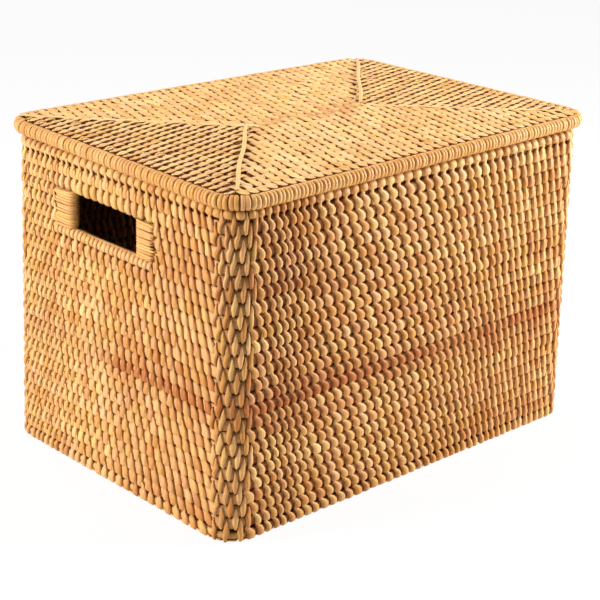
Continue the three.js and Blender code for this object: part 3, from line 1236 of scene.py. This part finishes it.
class WOVENBOX_OT_base_panel(Operator):
    """Lay the flat coil of the base and stitch it on both faces"""

    bl_idname = "woven_box.base_panel"
    bl_label = "Base Panel"

    def execute(self, context):
        weave = context.scene.woven_box.lid
        material = cane_material("wall_rattan", context.scene.woven_box.finish)
        low, high = node_extent(["base_panel"])
        z = (low[2] + high[2]) / 2.0
        courses = 13
        pitch = high[1] / (courses + 0.5)
        height = (high[2] - low[2]) / 2.0 - 0.0010
        leaf = leaf_route(pitch, height, pitch / 2.0, LOOSE, 0.0008)
        mitre = leaf_route(DIAGONAL * pitch, height, 0.8 * pitch, (0.0002, 0.0004), 0.0006)
        width, corner = leaf_width(weave.stem_width, weave.bead_width), leaf_width(0.0056, 0.0066)
        crown = even_crown(weave.crown)
        shapes = [shape_strand(6, leaf, width, crown, face) for face in ("top", "under")]
        corners = [shape_strand(6, mitre, corner, crown, face) for face in ("top", "under")]
        outer_bend = 0.0105
        parts = []
        for index in range(courses):
            half_x, half_y = (high[axis] - (index + 0.5) * pitch for axis in (0, 1))
            radius = max(outer_bend - index * pitch, LEAST_BEND)
            seed = SEEDS["base"] + 40 * index
            last = index == courses - 1
            parts.append(panel_rod(half_x, half_y, radius, z, pitch / 2.0, height, 0.4))
            parts += panel_course(index, half_x, half_y, pitch, z, shapes, weave, base_tone, seed, last)
            for number, strand in enumerate(corners):
                first = seed + 700 + 10 * number
                parts += corner_stitches(strand, half_x, half_y, z, range(4), 0.55, first)
        piece = join("woven_base_panel", parts)
        finish_piece(piece, "box", material, ["base_panel"])
        for shape in (*shapes, *corners):
            bpy.data.objects.remove(shape)
        return {"FINISHED"}


def new_group(name, inputs, outputs):
    """An empty shader node group with its sockets, and its input and output nodes."""
    group = bpy.data.node_groups.new(name, "ShaderNodeTree")
    for socket, kind in inputs:
        group.interface.new_socket(name=socket, in_out="INPUT", socket_type=kind)
    for socket, kind in outputs:
        group.interface.new_socket(name=socket, in_out="OUTPUT", socket_type=kind)
    return group, group.nodes.new("NodeGroupInput"), group.nodes.new("NodeGroupOutput")


def cane_fibre():
    """Node group: long streaks and fine pores that follow a strand."""
    found = bpy.data.node_groups.get("Cane Fibre")
    if found:
        return found
    group, given, made = new_group(
        "Cane Fibre",
        [(name, "NodeSocketFloat") for name in ("Across", "Along")],
        [(name, "NodeSocketFloat") for name in ("Streak", "Relief", "Hue")],
    )
    link = group.links.new
    place = group.nodes.new("ShaderNodeCombineXYZ")
    link(given.outputs["Across"], place.inputs["X"])
    link(given.outputs["Along"], place.inputs["Y"])
    streaks, pores = (1400.0, 60.0, 1.0), (4200.0, 260.0, 1.0)
    noises = []
    for scale in (streaks, pores):
        mapping = group.nodes.new("ShaderNodeMapping")
        mapping.inputs["Scale"].default_value = scale
        noise = group.nodes.new("ShaderNodeTexNoise")
        noise.inputs["Scale"].default_value = 1.0
        noise.inputs["Detail"].default_value = 2.0
        link(place.outputs["Vector"], mapping.inputs["Vector"])
        link(mapping.outputs["Vector"], noise.inputs["Vector"])
        noises.append(noise)
    length = group.nodes.new("ShaderNodeTexNoise")
    length.noise_dimensions = "1D"
    length.inputs["Scale"].default_value = 4.0
    length.inputs["Detail"].default_value = 0.0
    link(given.outputs["Along"], length.inputs["W"])
    link(length.outputs["Fac"], made.inputs["Hue"])
    mix = group.nodes.new("ShaderNodeMath")
    mix.operation = "MULTIPLY_ADD"
    mix.inputs[1].default_value = 0.4
    link(noises[1].outputs["Fac"], mix.inputs[0])
    link(noises[0].outputs["Fac"], mix.inputs[2])
    link(noises[0].outputs["Fac"], made.inputs["Streak"])
    link(mix.outputs["Value"], made.inputs["Relief"])
    return group


def mix_colors(tree, blend, factor, a, b):
    """A colour Mix node. factor, a and b are sockets or plain values."""
    node = tree.nodes.new("ShaderNodeMix")
    node.data_type = "RGBA"
    node.blend_type = blend
    node.clamp_factor = True
    for socket, value in ((node.inputs[0], factor), (node.inputs[6], a), (node.inputs[7], b)):
        if isinstance(value, bpy.types.NodeSocket):
            tree.links.new(value, socket)
        else:
            socket.default_value = value
    return node.outputs[2]


def map_range(tree, value, low, high, to_low, to_high):
    """Takes a value from one range to another, smoothly."""
    node = tree.nodes.new("ShaderNodeMapRange")
    node.interpolation_type = "SMOOTHSTEP"
    tree.links.new(value, node.inputs["Value"])
    for name, number in (("From Min", low), ("From Max", high), ("To Min", to_low), ("To Max", to_high)):
        node.inputs[name].default_value = number
    return node.outputs["Result"]


def cane_color():
    """Node group: a strand's colour from its lightness, redness and fibre, with painted shade that turns
    its edges, its sunk parts and the rods towards Deep.
    """
    found = bpy.data.node_groups.get("Cane Color")
    if found:
        return found
    floats = ("Tone", "Rust", "Streak", "Shade", "Hue")
    colors = ("Pale", "Honey", "Rusty", "Deep")
    group, given, made = new_group(
        "Cane Color",
        [(name, "NodeSocketFloat") for name in floats] + [(name, "NodeSocketColor") for name in colors],
        [("Color", "NodeSocketColor"), ("Roughness", "NodeSocketFloat")],
    )
    olive_tint, pink_tint = (0.96, 1.0, 0.80, 1.0), (1.0, 0.91, 1.05, 1.0)
    fibre_tint = (0.62, 0.48, 0.34, 1.0)
    tone = mix_colors(group, "MIX", given.outputs["Tone"], given.outputs["Honey"], given.outputs["Pale"])
    olive = map_range(group, given.outputs["Hue"], 0.52, 0.32, 0.0, 0.7)
    tone = mix_colors(group, "MULTIPLY", olive, tone, olive_tint)
    pink = map_range(group, given.outputs["Hue"], 0.48, 0.68, 0.0, 0.7)
    tone = mix_colors(group, "MULTIPLY", pink, tone, pink_tint)
    rusty = mix_colors(group, "MIX", given.outputs["Rust"], tone, given.outputs["Rusty"])
    fibre = map_range(group, given.outputs["Streak"], 0.30, 0.62, 0.55, 0.0)
    streaked = mix_colors(group, "MULTIPLY", fibre, rusty, fibre_tint)
    # Painted shade: where Shade is low, the colour goes over to Deep.
    painted_shade = map_range(group, given.outputs["Shade"], 0.0, 0.8, 0.97, 0.0)
    shaded = mix_colors(group, "MIX", painted_shade, streaked, given.outputs["Deep"])
    group.links.new(shaded, made.inputs["Color"])
    rough = map_range(group, given.outputs["Shade"], 0.2, 0.9, 0.85, 0.48)
    group.links.new(rough, made.inputs["Roughness"])
    return group


def cane_material(name, finish):
    """Satin split cane. The strands' own attributes carry lightness, redness, fibre and painted light and
    shade.
    """
    name = f"woven_{name}"
    found = bpy.data.materials.get(name)
    if found:
        return found
    material = bpy.data.materials.new(name)
    material.use_nodes = True
    tree = material.node_tree
    link = tree.links.new
    shader = tree.nodes["Principled BSDF"]
    marks = {}
    for mark_name in MARKS:
        node = tree.nodes.new("ShaderNodeAttribute")
        node.attribute_name = mark_name
        marks[mark_name] = node.outputs["Fac"]
    fibre = tree.nodes.new("ShaderNodeGroup")
    fibre.node_tree = cane_fibre()
    color = tree.nodes.new("ShaderNodeGroup")
    color.node_tree = cane_color()
    for name in ("across", "along"):
        link(marks[name], fibre.inputs[name.title()])
    for name in ("tone", "rust", "shade"):
        link(marks[name], color.inputs[name.title()])
    for name in ("Streak", "Hue"):
        link(fibre.outputs[name], color.inputs[name])
    shades = {"Pale": finish.pale, "Honey": finish.honey, "Rusty": finish.rust, "Deep": finish.deep}
    for name, value in shades.items():
        color.inputs[name].default_value = (*value, 1.0)
    link(color.outputs["Color"], shader.inputs["Base Color"])
    link(color.outputs["Roughness"], shader.inputs["Roughness"])
    shader.inputs["Specular IOR Level"].default_value = 0.3
    bump = tree.nodes.new("ShaderNodeBump")
    bump.inputs["Strength"].default_value = 0.35
    bump.inputs["Distance"].default_value = 0.0003
    link(fibre.outputs["Relief"], bump.inputs["Height"])
    link(bump.outputs["Normal"], shader.inputs["Normal"])
    return material


def seen_directly(tree):
    """1 where the camera sees a surface, also in a reflection or through glass, and 0 elsewhere."""
    light_path = tree.nodes.new("ShaderNodeLightPath")
    total = light_path.outputs["Is Camera Ray"]
    for ray in ("Is Glossy Ray", "Is Transmission Ray"):
        add = tree.nodes.new("ShaderNodeMath")
        add.operation = "ADD"
        add.use_clamp = True
        tree.links.new(total, add.inputs[0])
        tree.links.new(light_path.outputs[ray], add.inputs[1])
        total = add.outputs["Value"]
    return total


def add_lamp(name, place, aim, size, power):
    """A square soft lamp that faces the point at height aim over the middle of the floor."""
    clear_selection()
    bpy.ops.object.light_add(type="AREA", location=place)
    lamp = bpy.context.active_object
    lamp.name = name
    lamp.data.shape = "RECTANGLE"
    lamp.data.size = lamp.data.size_y = size
    lamp.data.energy = power
    lamp.rotation_euler = (Vector((0.0, 0.0, aim)) - Vector(place)).to_track_quat("-Z", "Y").to_euler()


def add_camera(stage):
    """The camera, turned and shifted to the view from the front left."""
    a, e, r = stage.azimuth, stage.elevation, stage.roll
    back = Vector((math.sin(a) * math.cos(e), -math.cos(a) * math.cos(e), math.sin(e)))
    right = Vector((math.cos(a), math.sin(a), 0.0))
    up = back.cross(right)
    tilted_right = right * math.cos(r) + up * math.sin(r)
    tilted_up = up * math.cos(r) - right * math.sin(r)
    middle = Vector((0.0, 0.0, (solid_box[0][2] + solid_box[1][2]) / 2.0))
    clear_selection()
    bpy.ops.object.camera_add()
    camera = bpy.context.active_object
    turn = Matrix((tilted_right, tilted_up, back)).transposed().to_4x4()
    place = middle + back * stage.distance - tilted_up * stage.lowered - tilted_right * stage.aside
    camera.matrix_world = Matrix.Translation(place) @ turn
    camera.data.sensor_width = 36.0
    camera.data.lens = stage.lens
    bpy.context.scene.camera = camera


def mix_shaders(tree, factor, first, second, output):
    """Puts a mix of two shaders out as the surface."""
    mix = tree.nodes.new("ShaderNodeMixShader")
    tree.links.new(factor, mix.inputs["Fac"])
    tree.links.new(first, mix.inputs[1])
    tree.links.new(second, mix.inputs[2])
    tree.links.new(mix.outputs["Shader"], tree.nodes[output].inputs["Surface"])


def floor_material(stage):
    """Pale and matt, and nearly white where the camera sees it, with the box's shadow left in."""
    material = bpy.data.materials.new("pale_floor")
    material.use_nodes = True
    tree = material.node_tree
    shader = tree.nodes["Principled BSDF"]
    shader.inputs["Base Color"].default_value = (*stage.floor_color, 1.0)
    shader.inputs["Roughness"].default_value = 0.9
    shader.inputs["Specular IOR Level"].default_value = 0.0
    glow = tree.nodes.new("ShaderNodeEmission")
    share = tree.nodes.new("ShaderNodeMath")
    share.operation = "MULTIPLY"
    share.inputs[1].default_value = stage.floor_glow
    tree.links.new(seen_directly(tree), share.inputs[0])
    mix_shaders(
        tree, share.outputs["Value"], shader.outputs["BSDF"], glow.outputs["Emission"], "Material Output"
    )
    return material


def studio_world(stage):
    """Even light from all round, and plain white where the camera sees past the floor."""
    world = bpy.data.worlds.new("studio")
    world.use_nodes = True
    tree = world.node_tree
    lit = tree.nodes["Background"]
    seen = tree.nodes.new("ShaderNodeBackground")
    for node, strength in ((lit, stage.sky), (seen, 1.0)):
        node.inputs["Color"].default_value = (1.0, 1.0, 1.0, 1.0)
        node.inputs["Strength"].default_value = strength
    mix_shaders(
        tree, seen_directly(tree), lit.outputs["Background"], seen.outputs["Background"], "World Output"
    )
    return world


class WOVENBOX_OT_stage(Operator):
    """Set the camera, the lamps, the pale floor and the white surroundings"""

    bl_idname = "woven_box.stage"
    bl_label = "Stage"

    def execute(self, context):
        stage = context.scene.woven_box.stage
        add_camera(stage)
        for name, (place, aim, size, power) in LAMPS.items():
            add_lamp(name, place, aim, size, power)
        clear_selection()
        bpy.ops.mesh.primitive_plane_add(size=12.0)
        floor = context.active_object
        floor.name = "floor"
        floor.data.materials.append(floor_material(stage))
        context.scene.world = studio_world(stage)
        context.scene.view_settings.view_transform = "Standard"
        return {"FINISHED"}


STEPS = (
    WOVENBOX_OT_wall_courses,
    WOVENBOX_OT_jamb_bindings,
    WOVENBOX_OT_base_panel,
    WOVENBOX_OT_lid_rim,
    WOVENBOX_OT_lid_courses,
    WOVENBOX_OT_lid_ribs,
    WOVENBOX_OT_lid_locators,
    WOVENBOX_OT_stage,
)


class WOVENBOX_PT_sidebar(Panel):
    """Steps that dress the box, in order"""

    bl_idname = "WOVENBOX_PT_sidebar"
    bl_label = "Woven Box"
    bl_space_type = "VIEW_3D"
    bl_region_type = "UI"
    bl_category = "Woven Box"

    def draw(self, context):
        for step in STEPS:
            self.layout.operator(step.bl_idname)


CLASSES = (WallWeave, LidWeave, CaneFinish, StageSetup, WovenBox, *STEPS, WOVENBOX_PT_sidebar)


def register():
    for cls in CLASSES:
        bpy.utils.register_class(cls)
    bpy.types.Scene.woven_box = PointerProperty(type=WovenBox)


def unregister():
    del bpy.types.Scene.woven_box
    for cls in reversed(CLASSES):
        bpy.utils.unregister_class(cls)


def main():
    register()
    for step in STEPS:
        group, name = step.bl_idname.split(".")
        getattr(getattr(bpy.ops, group), name)()


if __name__ == "__main__":
    main()
